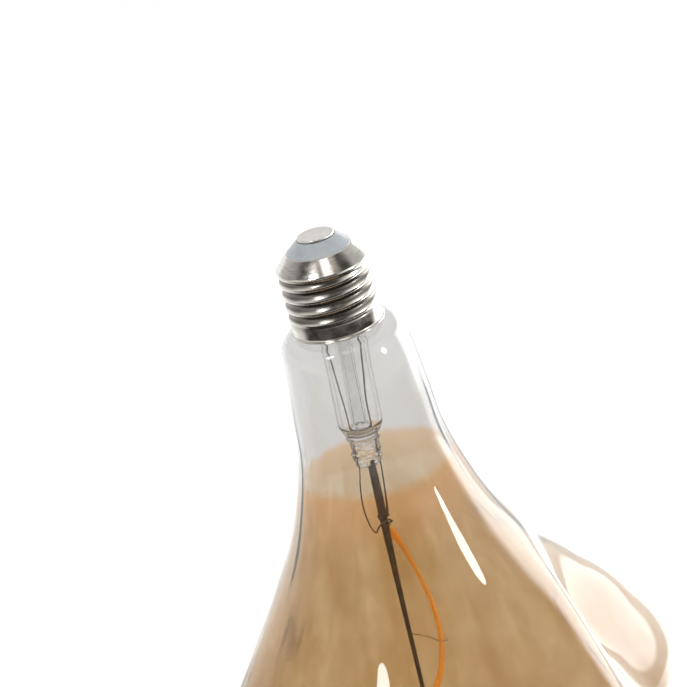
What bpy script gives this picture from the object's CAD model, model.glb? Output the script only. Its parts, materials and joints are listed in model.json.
# Looks of a large free-form filament lamp: fine surfaces, procedural materials, light and camera,
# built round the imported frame. Shapes are worked out in millimetres and written to meshes in metres.
import json
import math

import bpy
import numpy as np
from mathutils import Matrix, Vector, noise

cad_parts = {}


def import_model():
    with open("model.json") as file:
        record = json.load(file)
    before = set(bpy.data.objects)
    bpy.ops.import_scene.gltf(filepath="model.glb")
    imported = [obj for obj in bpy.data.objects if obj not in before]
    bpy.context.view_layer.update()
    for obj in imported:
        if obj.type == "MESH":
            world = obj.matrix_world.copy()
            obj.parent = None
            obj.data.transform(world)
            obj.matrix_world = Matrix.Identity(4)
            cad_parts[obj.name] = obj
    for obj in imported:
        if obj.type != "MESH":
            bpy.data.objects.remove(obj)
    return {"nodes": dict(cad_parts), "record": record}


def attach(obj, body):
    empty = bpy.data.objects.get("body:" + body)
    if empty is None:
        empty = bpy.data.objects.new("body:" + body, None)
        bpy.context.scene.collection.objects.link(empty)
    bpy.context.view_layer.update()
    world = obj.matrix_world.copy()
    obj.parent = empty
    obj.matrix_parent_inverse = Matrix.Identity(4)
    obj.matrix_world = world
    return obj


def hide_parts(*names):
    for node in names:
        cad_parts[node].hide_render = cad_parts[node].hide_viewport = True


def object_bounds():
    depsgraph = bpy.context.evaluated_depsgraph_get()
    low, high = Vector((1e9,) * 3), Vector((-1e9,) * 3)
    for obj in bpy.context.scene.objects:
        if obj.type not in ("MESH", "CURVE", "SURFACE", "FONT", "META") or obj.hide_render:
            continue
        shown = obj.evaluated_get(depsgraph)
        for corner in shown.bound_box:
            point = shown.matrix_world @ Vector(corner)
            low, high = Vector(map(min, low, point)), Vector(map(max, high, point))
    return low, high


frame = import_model()
cad_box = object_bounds()

# ---- Driving dimensions, in millimetres --------------------------------------------------------

MM = 0.001
TURN = 2 * math.pi

# Screw cap
THREAD_CREST_R = 13.1
THREAD_ROOT_R = 12.25
THREAD_PITCH = 3.629
THREAD_CREST_Z = -9.73
THREAD_TOP_Z = -8.3
THREAD_END_Z = -22.9
SKIRT_R = 12.85
RIM_R = 13.45
RIM_Z = -27.05
SHELL_TOP_Z = -3.84
SHELL_WALL = 0.35
SHOULDER_WALL = 0.3  # thickness of the shoulder, straight down
CONTACT_R = 5.16

# Glass body: depth below the contact and mean radius
GLASS_PROFILE = [
    (20.6, 10.6), (26.2, 10.7), (27.7, 12.4), (28.7, 15.4), (31, 17.3), (36, 18.3), (50, 20.0),
    (64, 21.5), (78, 25.2), (94, 31.3), (110, 40.2), (126, 50.6), (142, 60.0), (160, 71.2),
    (182, 80.0), (204, 78.0), (226, 65.5), (244, 44.0), (254, 20.0), (257, 0),
]
GLASS_WALL = 0.8
# Lobes: how many round the body, their share of the radius, and the direction of a crest in degrees
GLASS_LOBES = [(2, 0.06, 64), (3, 0.06, 64), (4, 0.06, 50), (5, 0.062, -30.5)]
LOBE_TWIST = 0.94  # degrees for each millimetre of depth
TWIST_FROM = 130
TWIST_TO = 180
LOBE_DEPTHS = (102, 142)
BODY_SHIFT = (-1.6, -5.6)
NECK_SHIFT_X = 0.7
NECK_SHIFT_DEPTHS = (27, 40)
# Waves in the wall's thickness: how many round the body, and how far each leans with depth
WALL_WAVES = ((5, 1.0), (9, -0.7), (14, 1.6), (23, -2.0))
WALL_WAVE = 0.05
AMBER_STARTS = (-70, -74.5)  # heights between which the clear neck turns amber
AMBER_TILT = 0.085  # the amber starts this much higher for each unit toward the front
AMBER_DEEPENS = (-72, -92)  # heights between which the thin first amber reaches its full depth
AMBER_WANDER = 6  # how far the amber's edge wanders up and down

# Stem
STEM_LEAN = 0.052  # radians
STEM_PIVOT = Vector((0.45, 0, -28))
STEM_R = 6.5
STEM_WALL = 1.0
STEM_TOP_Z = -22.5
STEM_FLOOR_Z = -61.4
STEM_END_Z = -62.7
EXHAUST_R = 2.0
EXHAUST_WALL = 0.7
EXHAUST_TOP_Z = -13.6
PINCH_TOP_Z = -62.8
PINCH_BOTTOM_Z = -73.3

# Rod, wires and filament
ROD_R = 0.65
ROD_X = -0.9
ROD_LEAN = 0.024  # millimetres sideways for each millimetre of height
ROD_TOP_Z = -73.6
ROD_END_Z = -230
LEAD_R = 0.25
HOOK_R = 0.2
WELD_Z = -90.2
FILAMENT_TOP_Z = -96.1
FILAMENT_END_Z = -226
FILAMENT_R = 11.6
FILAMENT_START_R = 2.3
FILAMENT_RISE = 59  # height over which it opens out from the rod at each end
FILAMENT_PITCH = 122
FILAMENT_START_ANGLE = 76  # degrees
HELD_AT = (0.29, 0.55, 0.8)  # shares of the filament's height at which a hook holds it
HOOK_DROP = 0.8
HOOK_TIP = 2.8
COAT_R = 0.95
SUBSTRATE_HALF_WIDTH = 0.99
SUBSTRATE_HALF_THICKNESS = 0.05
CHIP_PITCH = 1.5

# A noise texture's values lie mostly between these two
NOISE_LOW = 0.3
NOISE_HIGH = 0.7


# ---- Small helpers -----------------------------------------------------------------------------

def smoothstep(x, low, high):
    t = np.clip((np.asarray(x, float) - low) / (high - low), 0, 1)
    return t * t * (3 - 2 * t)


def spline(points, t):
    """Catmull-Rom curve through the points, with t from 0 to 1 over all of them."""
    p = np.asarray(points, float)
    last = len(p) - 1
    at = np.clip(np.asarray(t, float), 0, 1) * last
    i = np.minimum(at.astype(int), last - 1)
    u = (at - i)[..., None]
    p1 = p[i]
    p2 = p[i + 1]
    p0 = np.where((i > 0)[..., None], p[np.maximum(i - 1, 0)], p1)
    p3 = p[np.minimum(i + 2, last)]
    v0 = (p2 - p0) / 2
    v1 = (p3 - p1) / 2
    return (2 * p1 - 2 * p2 + v0 + v1) * u**3 + (-3 * p1 + 3 * p2 - 2 * v0 - v1) * u**2 + v0 * u + p1


def rod_x(z):
    return ROD_X + ROD_LEAN * (z - ROD_TOP_Z)


def new_piece(node, points, faces, slot, material=None):
    """Mesh object from points in millimetres, which rides on the lamp and stands for a CAD node. Its
    material is the slot's own, unless another is named."""
    name = f"{node}_fine"
    mesh = bpy.data.meshes.new(name)
    mesh.from_pydata([tuple(float(c) * MM for c in p) for p in points], [], faces)
    mesh.validate()
    mesh.update()
    for polygon in mesh.polygons:
        polygon.use_smooth = True
    mesh.materials.append(MATERIALS[material or slot])
    piece = bpy.data.objects.new(name, mesh)
    bpy.context.scene.collection.objects.link(piece)
    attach(piece, "root")
    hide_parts(node)


def loft(rings, first=None, last=None):
    """Points and faces of a closed body through rings of equally many points. The chain of rings
    closes on two end points where they are given, and otherwise on its first ring."""
    count = len(rings[0])
    points = [p for ring in rings for p in ring]
    faces = []
    bands = len(rings) if first is None else len(rings) - 1
    for row in range(bands):
        above = (row + 1) % len(rings)
        for i in range(count):
            j = (i + 1) % count
            faces.append((row * count + i, row * count + j, above * count + j, above * count + i))
    if first is not None:
        a = len(points)
        points += [first, last]
        end = (len(rings) - 1) * count
        for i in range(count):
            j = (i + 1) % count
            faces.append((a, j, i))
            faces.append((a + 1, end + i, end + j))
    return points, faces


def circle(r, z, sides):
    angles = [TURN * i / sides for i in range(sides)]
    return [(r * math.cos(a), r * math.sin(a), z) for a in angles]


def turned(pairs, sides):
    """Solid of revolution from (radius, z) pairs that run up the outside."""
    rings = [circle(r, z, sides) for r, z in pairs]
    return loft(rings, (0, 0, pairs[0][1]), (0, 0, pairs[-1][1]))


def rounded(pairs, steps=6):
    """Profile with its corners rounded by a smooth curve through the same points."""
    t = np.linspace(0, 1, (len(pairs) - 1) * steps + 1)
    return [tuple(p) for p in spline(pairs, t)]


def lean(points):
    """Points of the stem, turned about its pivot as the stem leans."""
    turn = Matrix.Rotation(STEM_LEAN, 3, "Y")
    return [tuple(turn @ (Vector(p) - Vector((0, 0, STEM_PIVOT.z))) + STEM_PIVOT) for p in points]


def bar_along(path, radius, sides):
    """Round bar along a list of points, with ends that bulge a little."""
    path = [Vector(p) for p in path]
    rings = []
    bulge = radius * 0.3
    start = path[0] - (path[1] - path[0]).normalized() * bulge
    end = path[-1] + (path[-1] - path[-2]).normalized() * bulge
    side = (path[1] - path[0]).normalized().orthogonal().normalized()
    for i, centre in enumerate(path):
        ahead = path[min(i + 1, len(path) - 1)]
        behind = path[max(i - 1, 0)]
        tangent = (ahead - behind).normalized()
        side = (side - tangent * side.dot(tangent)).normalized()
        across = tangent.cross(side)
        angles = [TURN * k / sides for k in range(sides)]
        rings.append([
            tuple(centre + (side * math.cos(a) + across * math.sin(a)) * radius) for a in angles
        ])
    return loft(rings, tuple(start), tuple(end))


# ---- Materials ---------------------------------------------------------------------------------

class Nodes:
    """Node tree of one procedural material, with a Principled shader and short ways to add nodes."""

    def __init__(self, name, roughness=0.5, metallic=0.0):
        self.material = bpy.data.materials.new(name)
        self.material.use_nodes = True
        self.tree = self.material.node_tree
        self.shader = next(n for n in self.tree.nodes if n.type == "BSDF_PRINCIPLED")
        self.output = next(n for n in self.tree.nodes if n.type == "OUTPUT_MATERIAL")
        self.set("Roughness", roughness)
        self.set("Metallic", metallic)
        self.place = self.add("ShaderNodeTexCoord").outputs["Object"]

    def add(self, kind, **settings):
        node = self.tree.nodes.new(kind)
        for key, value in settings.items():
            setattr(node, key, value)
        return node

    def set(self, socket, value):
        self.shader.inputs[socket].default_value = value

    def link(self, a, b):
        self.tree.links.new(a, b)

    def to(self, output, socket):
        self.link(output, self.shader.inputs[socket])

    def stretched(self, x, y, z):
        node = self.add("ShaderNodeMapping")
        node.inputs["Scale"].default_value = (x, y, z)
        self.link(self.place, node.inputs["Vector"])
        return node.outputs["Vector"]

    def noise(self, scale, detail=3.0, roughness=0.5, vector=None):
        node = self.add("ShaderNodeTexNoise")
        node.inputs["Scale"].default_value = scale
        node.inputs["Detail"].default_value = detail
        node.inputs["Roughness"].default_value = roughness
        self.link(vector or self.place, node.inputs["Vector"])
        return node.outputs["Fac"]

    def math(self, operation, a, b=None):
        node = self.add("ShaderNodeMath", operation=operation)
        for socket, value in zip(node.inputs, (a, b)):
            if value is None:
                continue
            if isinstance(value, (int, float)):
                socket.default_value = value
            else:
                self.link(value, socket)
        return node.outputs[0]

    def ramp(self, fac, stops):
        node = self.add("ShaderNodeValToRGB")
        elements = node.color_ramp.elements
        while len(elements) < len(stops):
            elements.new(0.5)
        for element, (position, color) in zip(elements, stops):
            element.position = position
            element.color = (*color, 1)
        self.link(fac, node.inputs["Fac"])
        return node.outputs["Color"]

    def tones(self, fac, dark, light):
        """Colour from dark to light, by a noise factor."""
        return self.ramp(fac, [(NOISE_LOW, dark), (NOISE_HIGH, light)])

    def map_range(self, value, source, target=(0, 1), interpolation="LINEAR"):
        node = self.add("ShaderNodeMapRange", interpolation_type=interpolation)
        for socket, number in zip(("From Min", "From Max", "To Min", "To Max"), (*source, *target)):
            node.inputs[socket].default_value = number
        self.link(value, node.inputs["Value"])
        return node.outputs["Result"]

    def spread(self, fac, low, high):
        """Number from low to high, by a noise factor."""
        return self.map_range(fac, (NOISE_LOW, NOISE_HIGH), (low, high))

    def straight(self, value, low, high):
        """Straight 0 to 1 as value goes from low to high."""
        return self.map_range(value, (low, high))

    def between(self, value, low, high):
        """Smooth 0 to 1 as value goes from low to high."""
        return self.map_range(value, (low, high), interpolation="SMOOTHSTEP")

    def mix(self, fac, a, b, blend="MIX"):
        node = self.add("ShaderNodeMix", data_type="RGBA", blend_type=blend)
        for socket, value in ((node.inputs[0], fac), (node.inputs[6], a), (node.inputs[7], b)):
            if isinstance(value, tuple):
                socket.default_value = (*value, 1)
            elif isinstance(value, (int, float)):
                socket.default_value = value
            else:
                self.link(value, socket)
        return node.outputs[2]

    def bump(self, height, strength, distance_mm):
        node = self.add("ShaderNodeBump")
        node.inputs["Strength"].default_value = strength
        node.inputs["Distance"].default_value = distance_mm * MM
        self.link(height, node.inputs["Height"])
        self.to(node.outputs["Normal"], "Normal")

    def axes(self):
        node = self.add("ShaderNodeSeparateXYZ")
        self.link(self.place, node.inputs[0])
        return node.outputs

    def radius(self):
        x, y, _ = self.axes()
        squares = [self.math("MULTIPLY", part, part) for part in (x, y)]
        return self.math("SQRT", self.math("ADD", *squares))


def mottled(name, dark, light, roughness, metallic, scale, bump_mm):
    """Plain finish with small variation in its colour, gloss and surface."""
    n = Nodes(name, metallic=metallic)
    grain = n.noise(scale, 4)
    n.to(n.tones(grain, dark, light), "Base Color")
    n.to(n.spread(n.noise(scale * 0.4, 2), roughness * 0.8, roughness * 1.25), "Roughness")
    n.bump(n.noise(scale * 3, 3), 0.4, bump_mm)
    return n.material


def nickel_shell():
    """Rolled plated sheet: bright crests, dull dark roots, faint drawing lines round it."""
    n = Nodes("nickel_shell", metallic=1.0)
    radius = n.radius()
    lines = n.noise(60, 2, vector=n.stretched(6, 6, 90))
    bright = n.tones(lines, (0.60, 0.57, 0.52), (0.78, 0.75, 0.70))
    tarnish = (0.13, 0.115, 0.10)
    _, _, z = n.axes()
    above_skirt = n.between(z, (THREAD_END_Z - 2.1) * MM, (THREAD_END_Z - 0.1) * MM)
    below_shoulder = n.between(z, (THREAD_TOP_Z + 0.7) * MM, (THREAD_TOP_Z - 0.3) * MM)
    threaded = n.math("MULTIPLY", above_skirt, below_shoulder)
    root = n.between(radius, (THREAD_CREST_R - 0.04) * MM, (THREAD_ROOT_R + 0.32) * MM)
    dull = n.math("MULTIPLY", threaded, root)
    n.to(n.mix(n.math("MULTIPLY", dull, 0.88), bright, tarnish), "Base Color")
    blotch = n.noise(420, 4)
    n.to(n.math("ADD", n.spread(blotch, 0.12, 0.24), n.math("MULTIPLY", dull, 0.12)), "Roughness")
    n.bump(n.noise(500, 3, vector=n.stretched(1, 1, 3)), 0.25, 0.02)
    return n.material


def contact_plate():
    """Bright plating, finely brushed."""
    n = Nodes("contact_plate", metallic=1.0)
    n.to(n.tones(n.noise(500, 4), (0.74, 0.71, 0.67), (0.86, 0.84, 0.81)), "Base Color")
    n.to(n.spread(n.noise(900, 3), 0.3, 0.45), "Roughness")
    n.bump(n.noise(1500, 2, vector=n.stretched(1, 6, 1)), 0.3, 0.02)
    return n.material


def insulator():
    """Pale blue-grey moulding with a soft gloss."""
    n = Nodes("insulator")
    n.to(n.tones(n.noise(300, 4), (0.29, 0.31, 0.325), (0.335, 0.355, 0.37)), "Base Color")
    n.to(n.spread(n.noise(700, 3), 0.28, 0.42), "Roughness")
    n.set("Coat Weight", 0.3)
    n.set("Subsurface Weight", 0.15)
    n.set("Subsurface Scale", 0.002)
    n.bump(n.noise(1800, 2), 0.25, 0.01)
    return n.material


def let_lamps_through(n, tint):
    """Lets light from the lamps pass the glass. Each of the wall's two faces takes the square root of
    the tint."""
    through = n.add("ShaderNodeBsdfTransparent")
    gamma = n.add("ShaderNodeGamma")
    gamma.inputs["Gamma"].default_value = 0.5
    n.link(tint, gamma.inputs["Color"])
    n.link(gamma.outputs["Color"], through.inputs["Color"])
    rays = n.add("ShaderNodeLightPath")
    mix = n.add("ShaderNodeMixShader")
    n.link(rays.outputs["Is Shadow Ray"], mix.inputs[0])
    n.link(n.shader.outputs[0], mix.inputs[1])
    n.link(through.outputs[0], mix.inputs[2])
    n.link(mix.outputs[0], n.output.inputs["Surface"])


def amber_glass():
    """Blown wall, clear at the neck and coated amber below it, in soft streaks that follow the pull."""
    n = Nodes("amber_glass", roughness=0.0)
    clear = (0.77, 0.765, 0.76)
    thin_amber = (0.77, 0.565, 0.375)
    full_amber = [(0.28, (0.57, 0.41, 0.23)), (0.5, (0.625, 0.48, 0.305)), (0.72, (0.69, 0.56, 0.39))]
    _, y, z = n.axes()
    wander = n.math("MULTIPLY", n.math("SUBTRACT", n.noise(30, 2), 0.5), AMBER_WANDER * MM)
    edge = n.math("ADD", n.math("ADD", z, wander), n.math("MULTIPLY", y, AMBER_TILT))
    amount = n.between(edge, AMBER_STARTS[0] * MM, AMBER_STARTS[1] * MM)
    streaks = n.ramp(n.noise(1.0, 3, 0.55, n.stretched(110, 110, 5)), full_amber)
    coat = n.mix(n.between(z, AMBER_DEEPENS[0] * MM, AMBER_DEEPENS[1] * MM), thin_amber, streaks)
    tint = n.mix(amount, clear, coat)
    n.to(tint, "Base Color")
    n.set("Transmission Weight", 1.0)
    n.set("IOR", 1.5)
    let_lamps_through(n, tint)
    return n.material


def clear_glass(name, dent_mm=0.0):
    """Clear glass that darkens where it is seen edge on, dented if a depth is given."""
    n = Nodes(name, roughness=0.0)
    face_on = n.tones(n.noise(120, 2), (0.965, 0.965, 0.96), (0.995, 0.995, 0.99))
    edge_on = (0.24, 0.23, 0.22)
    facing = n.add("ShaderNodeLayerWeight").outputs["Facing"]
    tint = n.mix(n.between(facing, 0.5, 0.95), face_on, edge_on)
    n.to(tint, "Base Color")
    if dent_mm:
        n.bump(n.noise(520, 3), 1.0, dent_mm)
    n.set("Transmission Weight", 1.0)
    n.set("IOR", 1.5)
    let_lamps_through(n, tint)
    return n.material


def drawn_wire(name, dark, light, roughness):
    """Metal wire with faint marks along its length."""
    n = Nodes(name, metallic=1.0)
    marks = n.noise(900, 3, vector=n.stretched(1, 1, 0.15))
    n.to(n.tones(marks, dark, light), "Base Color")
    n.to(n.spread(n.noise(1500, 2), roughness * 0.8, roughness * 1.2), "Roughness")
    n.bump(n.noise(4000, 2), 0.3, 0.01)
    return n.material


def phosphor():
    """Orange silicone with a faint row of chips under it."""
    n = Nodes("phosphor")
    cloud = n.noise(700, 4)
    _, _, z = n.axes()
    half_pitch = CHIP_PITCH * MM / 2
    chips = n.between(n.math("PINGPONG", z, half_pitch), 0.0, half_pitch)
    silicone = n.tones(cloud, (0.98, 0.38, 0.02), (1.0, 0.48, 0.045))
    over_chip = (1.0, 0.64, 0.15)
    body = n.mix(n.math("MULTIPLY", chips, 0.35), silicone, over_chip)
    n.to(body, "Base Color")
    n.to(body, "Emission Color")
    n.set("Emission Strength", 0.14)
    n.to(n.spread(cloud, 0.3, 0.45), "Roughness")
    n.set("Subsurface Weight", 0.5)
    n.set("Subsurface Radius", (0.0012, 0.0006, 0.0002))
    n.set("Subsurface Scale", 1.0)
    n.bump(n.noise(2500, 3), 0.3, 0.02)
    return n.material


def circuit_board(name, dark, light):
    """Solder mask over copper tracks: a fine woven ground and paler tracks that cross it."""
    n = Nodes(name)
    tracks = n.add("ShaderNodeTexBrick")
    tracks.inputs["Scale"].default_value = 260
    tracks.inputs["Mortar Size"].default_value = 0.03
    n.link(n.place, tracks.inputs["Vector"])
    ground = n.tones(n.noise(1500, 3), dark, light)
    bright = tuple(min(1.0, c * 1.9) for c in light)
    n.to(n.mix(tracks.outputs["Fac"], ground, bright), "Base Color")
    n.to(n.spread(n.noise(800, 2), 0.3, 0.5), "Roughness")
    n.bump(tracks.outputs["Fac"], 0.4, 0.04)
    return n.material


def make_materials():
    """Every material by name. Each slot's material has its name, and pinched_glass is a second look of
    clear_glass."""
    m = {
        "nickel_shell": nickel_shell(),
        "contact_plate": contact_plate(),
        "insulator": insulator(),
        "amber_glass": amber_glass(),
        "clear_glass": clear_glass("clear_glass"),
        "pinched_glass": clear_glass("pinched_glass", 0.8),
        "rod_metal": drawn_wire("rod_metal", (0.055, 0.040, 0.028), (0.13, 0.095, 0.065), 0.38),
        "lead_metal": drawn_wire("lead_metal", (0.07, 0.055, 0.045), (0.17, 0.14, 0.11), 0.35),
        "hook_metal": drawn_wire("hook_metal", (0.55, 0.42, 0.28), (0.72, 0.58, 0.40), 0.3),
        "copper": drawn_wire("copper", (0.60, 0.28, 0.12), (0.78, 0.42, 0.22), 0.3),
        "phosphor": phosphor(),
        "green_board": circuit_board("green_board", (0.008, 0.09, 0.035), (0.015, 0.14, 0.06)),
        "blue_board": circuit_board("blue_board", (0.01, 0.04, 0.12), (0.02, 0.07, 0.2)),
    }
    # Dark and light colour, roughness, metallic, fineness of the grain, and bump in millimetres
    plain = {
        "cement": ((0.50, 0.44, 0.33), (0.66, 0.59, 0.46), 0.9, 0.0, 500, 0.1),
        "substrate": ((0.72, 0.62, 0.40), (0.84, 0.74, 0.52), 0.5, 0.0, 900, 0.01),
        "tin": ((0.52, 0.52, 0.52), (0.70, 0.70, 0.69), 0.3, 1.0, 700, 0.01),
        "liner": ((0.74, 0.72, 0.66), (0.84, 0.82, 0.77), 0.55, 0.0, 300, 0.02),
        "chip_black": ((0.012, 0.012, 0.013), (0.03, 0.03, 0.032), 0.55, 0.0, 1800, 0.02),
        "capacitor_sleeve": ((0.012, 0.014, 0.02), (0.03, 0.034, 0.045), 0.3, 0.0, 400, 0.01),
        "resistor_coat": ((0.03, 0.12, 0.19), (0.06, 0.19, 0.28), 0.45, 0.0, 900, 0.03),
        "antenna_ceramic": ((0.66, 0.63, 0.56), (0.78, 0.75, 0.68), 0.5, 0.0, 900, 0.01),
    }
    for name, settings in plain.items():
        m[name] = mottled(name, *settings)
    return m


MATERIALS = make_materials()


def carry_cad_materials():
    """Gives every CAD node the procedural material of its slot in the record."""
    for node in frame["record"]["subparts"]:
        target = frame["nodes"][node["node"]]
        target.data.materials.clear()
        target.data.materials.append(MATERIALS[node["material_slot"]])


# ---- Screw cap ---------------------------------------------------------------------------------

def thread_radius(z, angle):
    """Outer radius of the shell: a rolled right-hand thread between the shoulder and the skirt."""
    middle = (THREAD_CREST_R + THREAD_ROOT_R) / 2
    height = (THREAD_CREST_R - THREAD_ROOT_R) / 2
    phase = (z - THREAD_CREST_Z) / THREAD_PITCH * TURN - angle
    thread = middle + height * math.cos(phase)
    below = float(smoothstep(z, THREAD_END_Z, THREAD_END_Z + THREAD_PITCH / 2))
    above = float(smoothstep(z, THREAD_TOP_Z - THREAD_PITCH / 2, THREAD_TOP_Z))
    radius = SKIRT_R + (thread - SKIRT_R) * below
    return radius + (THREAD_CREST_R - radius) * above


def drawn_in(point, z):
    """Inner face's point behind an outer one, at height z."""
    x, y, _ = point
    share = 1 - SHELL_WALL / math.hypot(x, y)
    return (x * share, y * share, z)


def cap_shell():
    """Rolled sheet: turned-out rim, plain skirt, thread, rounded shoulder and a lip round the cone."""
    sides = 168
    rows = 92
    rim = rounded([
        (RIM_R - 0.5, RIM_Z + 0.02), (RIM_R - 0.12, RIM_Z), (RIM_R, RIM_Z + 0.16),
        (RIM_R - 0.1, RIM_Z + 0.34), (SKIRT_R + 0.2, RIM_Z + 0.46), (SKIRT_R + 0.03, RIM_Z + 0.7),
        (SKIRT_R, RIM_Z + 1.2),
    ], 3)
    shoulder = rounded([
        (THREAD_CREST_R, THREAD_TOP_Z), (THREAD_CREST_R - 0.1, THREAD_TOP_Z + 0.4), (12.62, -7.45),
        (11.9, -6.65), (10.6, -5.3), (9.5, -4.2), (9.15, -3.92), (8.9, SHELL_TOP_Z),
    ], 3)
    heights = [THREAD_END_Z + (THREAD_TOP_Z - THREAD_END_Z) * k / rows for k in range(rows)]
    outer = [circle(r, z, sides) for r, z in rim]
    for z in heights:
        ring = []
        for i in range(sides):
            a = TURN * i / sides
            r = thread_radius(z, a)
            ring.append((r * math.cos(a), r * math.sin(a), z))
        outer.append(ring)
    outer += [circle(r, z, sides) for r, z in shoulder]
    inner = []
    for ring in reversed(outer[1:]):
        z = ring[0][2]
        below = min(z, SHELL_TOP_Z) - (SHOULDER_WALL if z > THREAD_TOP_Z else 0)
        inner.append([drawn_in(p, below) for p in ring])
    new_piece("cap_shell", *loft(outer + inner), "nickel_shell")


def centre_contact():
    """Plated disc with a rolled edge and a faint dish."""
    profile = [
        (4.6, -0.62), (CONTACT_R - 0.06, -0.58), (CONTACT_R, -0.46), (CONTACT_R, -0.22),
        (CONTACT_R - 0.08, -0.07), (CONTACT_R - 0.28, 0.0), (4.4, -0.02), (3.2, -0.07), (1.8, -0.1),
        (0.6, -0.11),
    ]
    new_piece("centre_contact", *turned(rounded(profile, 4), 96), "contact_plate")


def cap_insulator():
    """Moulded cone that swells a little between the contact and the shell's lip."""
    profile = [
        (8.2, -4.9), (8.85, -4.2), (9.0, -3.86), (8.86, -3.6), (8.1, -2.98), (7.2, -2.2), (6.3, -1.42),
        (5.75, -0.94), (5.5, -0.76), (5.3, -0.7), (5.24, -0.8), (5.0, -0.95), (3.0, -1.0),
    ]
    new_piece("cap_insulator", *turned(rounded(profile, 4), 120), "insulator")


# ---- Glass body --------------------------------------------------------------------------------

def glass_points(t, angle):
    """Outer face of the glass body: arrays of points for arrays of t and angle."""
    mean = spline(GLASS_PROFILE, t)
    depth = mean[..., 0]
    body = smoothstep(depth, *LOBE_DEPTHS)
    neck = smoothstep(depth, *NECK_SHIFT_DEPTHS)
    phase = np.radians(LOBE_TWIST * (np.minimum(depth, TWIST_TO) - TWIST_FROM))
    swell = np.zeros_like(depth)
    for count, share, direction in GLASS_LOBES:
        swell = swell + share * np.cos(count * (angle - math.radians(direction)) + phase)
    r = np.maximum(mean[..., 1], 0) * (1 + body * swell)
    x = r * np.cos(angle) + NECK_SHIFT_X * neck + BODY_SHIFT[0] * body
    y = r * np.sin(angle) + BODY_SHIFT[1] * body
    return np.stack([x, y, -depth], axis=-1)


def glass_envelope():
    """Blown wall with an outer and an inner face, which varies a little in thickness."""
    sides = 180
    rows = 152
    t = (np.arange(rows) / rows)[:, None] * np.ones(sides)
    angle = np.ones((rows, 1)) * (np.arange(sides) / sides * TURN)
    outer = glass_points(t, angle)
    step = 0.003
    down = glass_points(t + step, angle) - glass_points(np.maximum(t - step, 0), angle)
    around = glass_points(t, angle + step) - glass_points(t, angle - step)
    outward = np.cross(down, around)
    outward /= np.linalg.norm(outward, axis=-1, keepdims=True)
    outward[0] = np.stack([np.cos(angle[0]), np.sin(angle[0]), np.zeros(sides)], axis=-1)
    pull = sum(WALL_WAVE * np.cos(count * angle + 5 * t * leans + count) for count, leans in WALL_WAVES)
    inner = outer - outward * (GLASS_WALL + pull * smoothstep(t, 0.2, 0.5))[..., None]
    rings = [[tuple(p) for p in ring] for face in (outer[::-1], inner) for ring in face]
    bottom = glass_points(np.array([1.0]), np.array([0.0]))[0]
    floor_inside = bottom + np.array([0, 0, GLASS_WALL])
    new_piece("glass_envelope", *loft(rings, tuple(bottom), tuple(floor_inside)), "amber_glass")


# ---- Stem --------------------------------------------------------------------------------------

def stem_tube():
    """Clear tube, flared where it meets the neck, drawn in and closed over the pinch below."""
    flare = [(2.2, STEM_TOP_Z), (1.2, -25), (0.4, -29), (0, -34), (0, -46), (0, -57)]
    outside = [(STEM_R + r, z) for r, z in flare]
    outside += [
        (6.3, -59.2), (5.7, -60.8), (5.0, -61.9), (4.2, -62.5), (2.2, STEM_END_Z), (0.8, STEM_END_Z),
    ]
    inside = [(STEM_R - STEM_WALL + r, z) for r, z in flare]
    inside += [(5.25, -58.8), (4.5, -60.2), (3.2, -61.1), (1.6, STEM_FLOOR_Z), (0.6, STEM_FLOOR_Z)]
    outline = rounded(outside)[::-1] + rounded(inside)
    rings = [circle(r, z, 96) for r, z in outline]
    points, faces = loft(rings, (0, 0, STEM_END_Z), (0, 0, STEM_FLOOR_Z))
    new_piece("stem_tube", lean(points), faces, "clear_glass")


def exhaust_tube():
    """Thin tube with a sealed tip, which opens out where it is fused to the stem's floor."""
    inner = EXHAUST_R - EXHAUST_WALL
    outside = [(3.1, -60.0), (2.35, -59.2)]
    outside += [(EXHAUST_R, z) for z in (-57.6, -50, -38, -26, -16.4)]
    outside += [(1.7, -15.0), (0.9, -14.0), (0.25, EXHAUST_TOP_Z)]
    inside = [(0.2, -15.2), (0.9, -15.9)]
    inside += [(inner, z) for z in (-17, -26, -38, -50, -57.6)]
    inside += [(1.7, -59.0), (2.3, -59.9)]
    rings = [circle(r, z, 48) for r, z in rounded(outside, 5) + rounded(inside, 5)]
    points, faces = loft(rings)
    new_piece("exhaust_tube", lean(points), faces, "clear_glass")


def pinch_seal():
    """Lump of glass squeezed flat round the wires, with the folds and dents that the jaws left."""
    sides = 72
    # Height, half width and half thickness
    stations = spline([
        (-62.75, 4.2, 4.1), (-63.1, 4.9, 4.6), (-63.9, 4.9, 4.0), (-65.0, 4.4, 3.0), (-66.4, 4.5, 2.6),
        (-68.0, 4.8, 2.7), (-69.8, 4.5, 2.4), (-71.4, 4.3, 2.3), (-72.6, 3.6, 1.9), (-73.2, 2.2, 1.1),
    ], np.linspace(0, 1, 64))
    rings = []
    # A broad fold swells or narrows each ring, and finer dents and creases only cut in
    for z, rx, ry in stations:
        ring = []
        for k in range(sides):
            a = TURN * k / sides
            p = Vector((rx * math.cos(a), ry * math.sin(a), z))
            fold = noise.noise(p * 0.5 + Vector((3.1, 1.7, 0.4)))
            dent = abs(noise.noise(p * 0.9 + Vector((0.3, 7.9, 2.2))))
            crease = abs(noise.noise(p * 1.9 + Vector((5.3, 0.9, 4.2))))
            share = 1 + 0.22 * fold - 0.42 * dent - 0.14 * crease
            ring.append((p.x * share, p.y * share, z + 0.5 * fold))
        rings.append(ring)
    points, faces = loft(rings[::-1], (0, 0, PINCH_BOTTOM_Z), (0, 0, PINCH_TOP_Z))
    new_piece("pinch_seal", lean(points), faces, "clear_glass", "pinched_glass")


# ---- Rod, wires and filament -------------------------------------------------------------------

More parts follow.
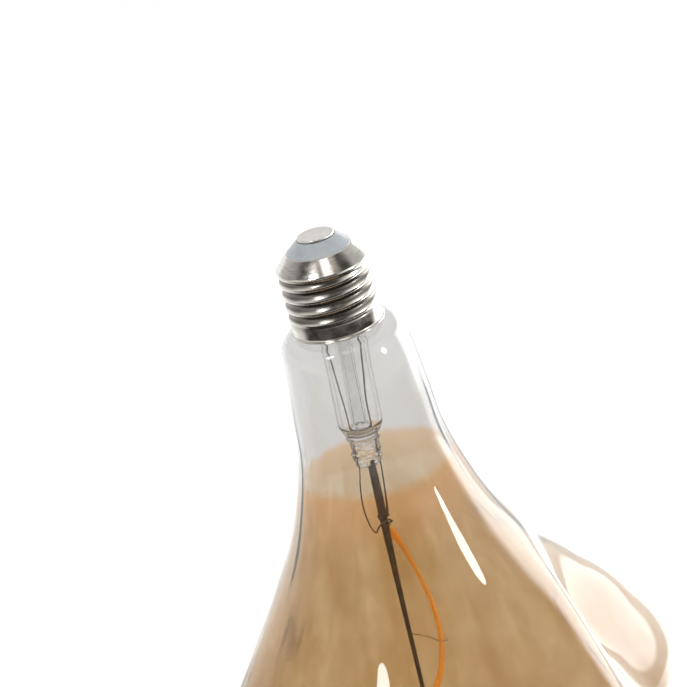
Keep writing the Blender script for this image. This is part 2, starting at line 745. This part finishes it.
def filament_point(t):
    """Middle of the strip: a helix round the rod that opens out from it at both ends."""
    z = FILAMENT_TOP_Z + (FILAMENT_END_Z - FILAMENT_TOP_Z) * t
    from_top = FILAMENT_TOP_Z - z
    from_end = z - FILAMENT_END_Z
    open_share = math.sin(math.pi / 2 * min(from_top / FILAMENT_RISE, from_end / FILAMENT_RISE, 1))
    r = FILAMENT_START_R + (FILAMENT_R - FILAMENT_START_R) * open_share
    angle = math.radians(FILAMENT_START_ANGLE - 360 * from_top / FILAMENT_PITCH)
    return Vector((rod_x(z) + r * math.cos(angle), r * math.sin(angle), z))


def filament_frames(steps):
    """Point, outward direction and sideways direction at each step along the filament."""
    frames = []
    for k in range(steps + 1):
        t = k / steps
        p = filament_point(t)
        ahead = filament_point(min(t + 0.004, 1))
        behind = filament_point(max(t - 0.004, 0))
        tangent = (ahead - behind).normalized()
        outward = Vector((p.x - rod_x(p.z), p.y, 0)).normalized()
        outward = (outward - tangent * outward.dot(tangent)).normalized()
        frames.append((p, outward, tangent.cross(outward)))
    return frames


def filament_strip(node, outline, slot, swell=0.0):
    """Strip with an outline of (outward, sideways) points along the filament, drawn in at its two ends.
    swell is the share by which it grows and shrinks in short waves."""
    steps = 520
    rings = []
    for k, (p, outward, across) in enumerate(filament_frames(steps)):
        grow = 1 + swell * math.cos(TURN * k / 6)
        end = min(1.0, (min(k, steps - k) + 1.5) / 16)
        rings.append([tuple(p + (outward * o + across * s) * grow * end ** 0.5) for o, s in outline])
    first = tuple(sum((Vector(q) for q in rings[0]), Vector()) / len(rings[0]))
    last = tuple(sum((Vector(q) for q in rings[-1]), Vector()) / len(rings[-1]))
    new_piece(node, *loft(rings, first, last), slot)


def filament():
    """A flat substrate between two domed coats."""
    arc_points = 13
    lift = 0.07
    arc = [math.pi * (k + 0.5) / arc_points for k in range(arc_points)]
    for side, name in ((1, "front"), (-1, "back")):
        dome = [(side * (lift + (COAT_R - lift) * math.sin(a)), side * -COAT_R * math.cos(a)) for a in arc]
        filament_strip(f"filament_coat_{name}", dome, "phosphor", swell=0.02)
    flat = [
        (out * SUBSTRATE_HALF_THICKNESS, across * SUBSTRATE_HALF_WIDTH)
        for out, across in ((1, 1), (-1, 1), (-1, -1), (1, -1))
    ]
    filament_strip("filament_substrate", flat, "substrate")


def wire(node, points, radius, steps, slot):
    path = spline(points, np.linspace(0, 1, steps + 1))
    new_piece(node, *bar_along(path, radius, 14), slot)


def weld_wrap(z):
    """Points of one and a half tight turns of a lead round the rod."""
    steps = 14
    step_down = 0.062
    r = ROD_R + LEAD_R * 0.9
    turns = []
    for k in range(steps + 1):
        a = 0.6 + TURN * 1.5 * k / steps
        turns.append((rod_x(z) + r * math.cos(a), r * math.sin(a), z - step_down * k))
    return turns


def support_rod():
    """Straight rod with its top set in the pinch."""
    rod = [(rod_x(z), 0, z) for z in np.linspace(ROD_TOP_Z + 2.4, ROD_END_Z, 90)]
    new_piece("support_rod", *bar_along(rod, ROD_R, 24), "rod_metal")


def leads():
    """Wires inside the stem tube, and those that go on from the pinch to the filament and the rod."""
    wire("outer_lead_feed", [
        (-4.4, -7.0, -16.9), (-4.6, -6.4, -19.2), (-5.2, -3.2, -24), (-5.0, -0.8, -29), (-4.75, 0.1, -36),
        (-4.55, -0.1, -45), (-4.25, 0.1, -54), (-4.3, 0, -61.2), (-4.3, 0, -66),
    ], LEAD_R, 80, "lead_metal")
    wire("outer_lead_return", [
        (5.4, -5.6, -16.9), (5.6, -4.8, -19.2), (5.6, -2.4, -24), (4.7, -0.8, -29), (4.25, 0, -37),
        (3.3, 0.1, -44), (2.2, 0, -52), (1.8, 0, -61.2), (1.5, 0, -66),
    ], LEAD_R, 80, "lead_metal")
    start = filament_point(0)
    wire("inner_lead_feed", [
        (-4.3, 0, -66), (-4.45, 0, -70), (-4.6, 0, -73.6), (-6.0, -0.2, -79), (-6.7, -0.6, -86),
        (-6.0, -1.2, -92), (-4.4, -1.7, -94.6), (-2.8, -1.9, -92.9), (-0.9, -1.8, -91.5),
        (-0.5, -1.5, -91.5), (-0.1, -1.1, -92.5), (start.x - 0.4, start.y, start.z + 1.2),
    ], LEAD_R, 110, "lead_metal")
    wire("inner_lead_return", [
        (1.5, 0, -66), (1.45, 0, -70), (1.4, 0, -73.6), (0.9, 0.1, -78), (0.2, 0.4, -83.5),
        (-0.2, 0.5, -87.5), *weld_wrap(WELD_Z),
    ], LEAD_R, 200, "lead_metal")


def hooks():
    """Wires that reach from the rod past the filament's edge and bend round it, with a tip that points
    outward."""
    clear = COAT_R + HOOK_R
    for i, t in enumerate(HELD_AT):
        held = filament_point(t)
        root_z = held.z + HOOK_DROP
        root = Vector((rod_x(root_z), 0, root_z))
        outward = (held - root) * Vector((1, 1, 0))
        outward.normalize()
        across = Vector((-outward.y, outward.x, 0))

        def near(out, side):
            return held + outward * out + across * side

        wire(f"support_hook_{i + 1}", [
            root + outward * ROD_R * 0.7, root.lerp(near(0, -clear), 0.6), near(-0.2, -clear),
            near(clear * 0.8, -clear * 0.75), near(HOOK_TIP * 0.75, -0.2), near(HOOK_TIP, 0.4),
        ], HOOK_R, 70, "hook_metal")


# ---- Stage, light and camera, in metres --------------------------------------------------------

EYE_LEVEL = 1.06  # the world's brightness as the camera sees it, directly or through glass
DIFFUSE_LEVEL = 0.9  # the world's brightness for diffuse light

# Brightness of the studio's back half, by degrees round from the front toward the right: a large
# bright panel stands low behind on the right, and dim walls rise above it
PANEL_LEVEL = 7.0
LOW_LEVELS = (
    (-180, 1.0), (-140, 1.3), (-115, 0.9), (-95, 0.7), (99, 1.1), (104, 1.9), (111, 6.8), (120, 6.6),
    (135, 4.9), (145, 4.0), (153, 2.9), (162, 1.6), (180, 1.1),
)
HIGH_LEVELS = ((-180, 0.8), (-140, 0.7), (-100, 0.35), (100, 0.5), (140, 0.8), (180, 0.8))

FLOOR_REACH = 8.0
DARK_FLOOR_R = (0.75, 1.1)  # radii between which the dark floor in front ends
AHEAD_R = (1.2, 2.2)  # radii between which the floor straight ahead turns dark again
RING_INNER_R = (0.36, 0.44)  # radii between which the dimmed ring on the right starts
RING_OUTER_R = (0.58, 0.7)  # radii between which it ends
RING_SHADE = 0.55


def softbox(name, direction, distance, size, radiance, target, shape="RECTANGLE", reflected=True):
    """Area lamp of a given radiance that faces the target."""
    width, height = size
    lamp = bpy.data.lights.new(name, "AREA")
    lamp.shape = shape
    lamp.size = width
    lamp.size_y = height
    lamp.energy = radiance * math.pi * width * height
    lamp.color = (1, 1, 1)
    holder = bpy.data.objects.new(name, lamp)
    bpy.context.scene.collection.objects.link(holder)
    way = Vector(direction).normalized()
    holder.location = Vector(target) + way * distance
    holder.rotation_euler = way.to_track_quat("Z", "Y").to_euler()
    holder.visible_camera = False
    holder.visible_transmission = False
    holder.visible_glossy = reflected


def lights():
    """Two softboxes that show as streaks on the glass, one over the cap's cone, and a fill from the
    right that no reflection shows."""
    softbox("key_light", direction=(-0.385, -0.443, 0.810), distance=0.9, size=(0.17, 0.34),
            radiance=13.0, target=(-0.012, -0.042, -0.114), shape="ELLIPSE")
    softbox("strip_light", direction=(0.91, -0.39, 0.145), distance=0.8, size=(0.13, 0.255),
            radiance=14.0, target=(0.017, -0.025, -0.091), shape="ELLIPSE")
    softbox("cone_light", direction=(0.08, -0.41, 0.91), distance=0.8, size=(0.24, 0.32),
            radiance=1.7, target=(0, 0, -0.005))
    softbox("side_light", direction=(0.78, 0.60, 0.20), distance=0.9, size=(0.9, 1.1),
            radiance=0.8, target=(0, 0, -0.1), reflected=False)


def mirrored_ray(n):
    """1 for a ray that left a mirror or glass face by reflection, and 0 for any other."""
    rays = n.add("ShaderNodeLightPath").outputs
    return n.math("MAXIMUM", n.math("SUBTRACT", rays["Is Reflection Ray"], rays["Is Diffuse Ray"]), 0.0)


def azimuth_of(n, x, y):
    """Degrees round from the front toward the right, of a direction's parts x and y."""
    return n.math("DEGREES", n.math("ARCTAN2", x, n.math("MULTIPLY", y, -1.0)))


def level_round(n, azimuth, levels):
    """Brightness at an azimuth, from (degrees, level) pairs. A ramp holds shares of the panel's level."""
    stops = [((degrees + 180) / 360, (level / PANEL_LEVEL,) * 3) for degrees, level in levels]
    share = n.ramp(n.straight(azimuth, -180, 180), stops)
    return n.mix(1.0, share, (PANEL_LEVEL,) * 3, "MULTIPLY")


def sideways(n, x, y):
    """0 straight in front, and 1 well off to either side."""
    return n.between(n.math("ABSOLUTE", n.math("ARCTANGENT", n.math("DIVIDE", x, y))), 0.3, 1.0)


def front_and_back(n, azimuth, front, back):
    return n.mix(n.between(n.math("ABSOLUTE", azimuth), 84, 104), front, back)


class WorldNodes(Nodes):
    """Node tree of the world, with the same short ways to add nodes."""

    def __init__(self, world):
        self.tree = world.node_tree
        self.tree.nodes.clear()
        self.place = self.add("ShaderNodeTexCoord").outputs["Generated"]


def world():
    """White to the eye and through glass, and pale for diffuse light. Reflections see a studio: pale
    walls to both sides of a dark front, a dark ceiling at its corners, and the levels of the back."""
    wall = [
        (0.48, (1.0, 0.98, 0.95)), (0.80, (0.85, 0.83, 0.80)), (0.90, (0.4, 0.38, 0.35)),
        (0.97, (0.5, 0.48, 0.45)),
    ]
    ahead_low = (0.25, 0.24, 0.23)
    ahead_high = (0.06, 0.055, 0.05)
    overhead = (0.5, 0.48, 0.45)
    dark_corner = (0.07, 0.065, 0.06)
    w = bpy.data.worlds.new("studio")
    w.use_nodes = True
    bpy.context.scene.world = w
    n = WorldNodes(w)
    x, y, z = n.axes()
    azimuth = azimuth_of(n, x, y)
    left_to_right = n.mix(n.between(x, -0.3, 0.3), (0.8, 0.8, 0.8), (1.35, 1.35, 1.35))
    walls = n.mix(1.0, n.ramp(n.straight(z, -1, 1), wall), left_to_right, "MULTIPLY")
    ahead = n.mix(n.between(z, 0.0, 0.14), ahead_low, ahead_high)
    ahead = n.mix(n.between(z, 0.86, 0.97), ahead, overhead)
    front = n.mix(sideways(n, x, y), ahead, walls)
    corner = n.math("MULTIPLY", n.between(z, 0.6, 0.7), n.between(n.math("ABSOLUTE", x), 0.32, 0.5))
    front = n.mix(corner, front, dark_corner)
    low = level_round(n, azimuth, LOW_LEVELS)
    back = n.mix(n.between(z, 0.12, 0.3), low, level_round(n, azimuth, HIGH_LEVELS))
    colour = front_and_back(n, azimuth, front, back)
    rays = n.add("ShaderNodeLightPath").outputs
    colour = n.mix(rays["Is Diffuse Ray"], colour, (DIFFUSE_LEVEL,) * 3)
    for ray in ("Is Transmission Ray", "Is Camera Ray"):
        colour = n.mix(rays[ray], colour, (EYE_LEVEL,) * 3)
    background = n.add("ShaderNodeBackground")
    n.link(colour, background.inputs["Color"])
    output = n.add("ShaderNodeOutputWorld")
    n.link(background.outputs[0], output.inputs["Surface"])


def floor_reflection(n):
    """What a reflection sees of the floor: dark near the lamp in front, pale beyond, and the back's low
    levels behind the lamp. A ring on the right is dimmed, and shows as a band on the far lobe."""
    near = (0.022, 0.019, 0.016)
    ahead_near = (0.9, 0.88, 0.85)
    ahead_far = (0.25, 0.24, 0.23)
    aside = (1.1, 1.08, 1.05)
    x, y, _ = n.axes()
    radius = n.radius()
    azimuth = azimuth_of(n, x, y)
    ahead = n.mix(n.between(radius, *AHEAD_R), ahead_near, ahead_far)
    beyond = n.mix(sideways(n, x, y), ahead, aside)
    front = n.mix(n.between(radius, *DARK_FLOOR_R), near, beyond)
    ring = n.math("SUBTRACT", n.between(radius, *RING_INNER_R), n.between(radius, *RING_OUTER_R))
    ring = n.math("MULTIPLY", ring, n.between(x, -0.05, 0.05))
    glow = n.add("ShaderNodeEmission")
    n.link(front_and_back(n, azimuth, front, level_round(n, azimuth, LOW_LEVELS)), glow.inputs["Color"])
    n.link(n.math("SUBTRACT", 1.0, n.math("MULTIPLY", ring, RING_SHADE)), glow.inputs["Strength"])
    return glow.outputs[0]


def floor():
    """Pale floor that the glass stands on, with a look of its own for reflections."""
    z = cad_box[0][2]
    mesh = bpy.data.meshes.new("floor")
    corners = [(x * FLOOR_REACH, y * FLOOR_REACH, z) for x, y in ((-1, -1), (1, -1), (1, 1), (-1, 1))]
    mesh.from_pydata(corners, [], [(0, 1, 2, 3)])
    plate = bpy.data.objects.new("floor", mesh)
    bpy.context.scene.collection.objects.link(plate)
    n = Nodes("floor_paint", roughness=0.9)
    n.to(n.tones(n.noise(4, 2), (0.46, 0.46, 0.455), (0.48, 0.48, 0.475)), "Base Color")
    n.set("Specular IOR Level", 0.1)
    n.set("Emission Color", (1, 1, 1, 1))
    n.set("Emission Strength", 0.58)
    mix = n.add("ShaderNodeMixShader")
    n.link(mirrored_ray(n), mix.inputs[0])
    n.link(n.shader.outputs[0], mix.inputs[1])
    n.link(floor_reflection(n), mix.inputs[2])
    n.link(mix.outputs[0], n.output.inputs["Surface"])
    mesh.materials.append(n.material)


def camera():
    """Looks down on the cap from the front, rolled so that the cap leans left."""
    aim = Vector((0, 0, -0.0337))
    distance = 0.4484
    elevation = math.radians(23.95)
    roll = math.radians(14.7)
    lens = bpy.data.cameras.new("camera")
    lens.lens = 83.84
    lens.sensor_width = 36
    lens.clip_start = 0.01
    holder = bpy.data.objects.new("camera", lens)
    bpy.context.scene.collection.objects.link(holder)
    back = Vector((0, -math.cos(elevation), math.sin(elevation)))
    turn = Matrix.Rotation(math.pi / 2 - elevation, 4, "X") @ Matrix.Rotation(-roll, 4, "Z")
    holder.matrix_world = Matrix.Translation(aim + back * distance) @ turn
    bpy.context.scene.camera = holder


camera()
world()
lights()
floor()
bpy.context.scene.view_settings.view_transform = "Standard"

carry_cad_materials()
centre_contact()
cap_insulator()
cap_shell()
glass_envelope()
stem_tube()
exhaust_tube()
pinch_seal()
filament()
support_rod()
leads()
hooks()
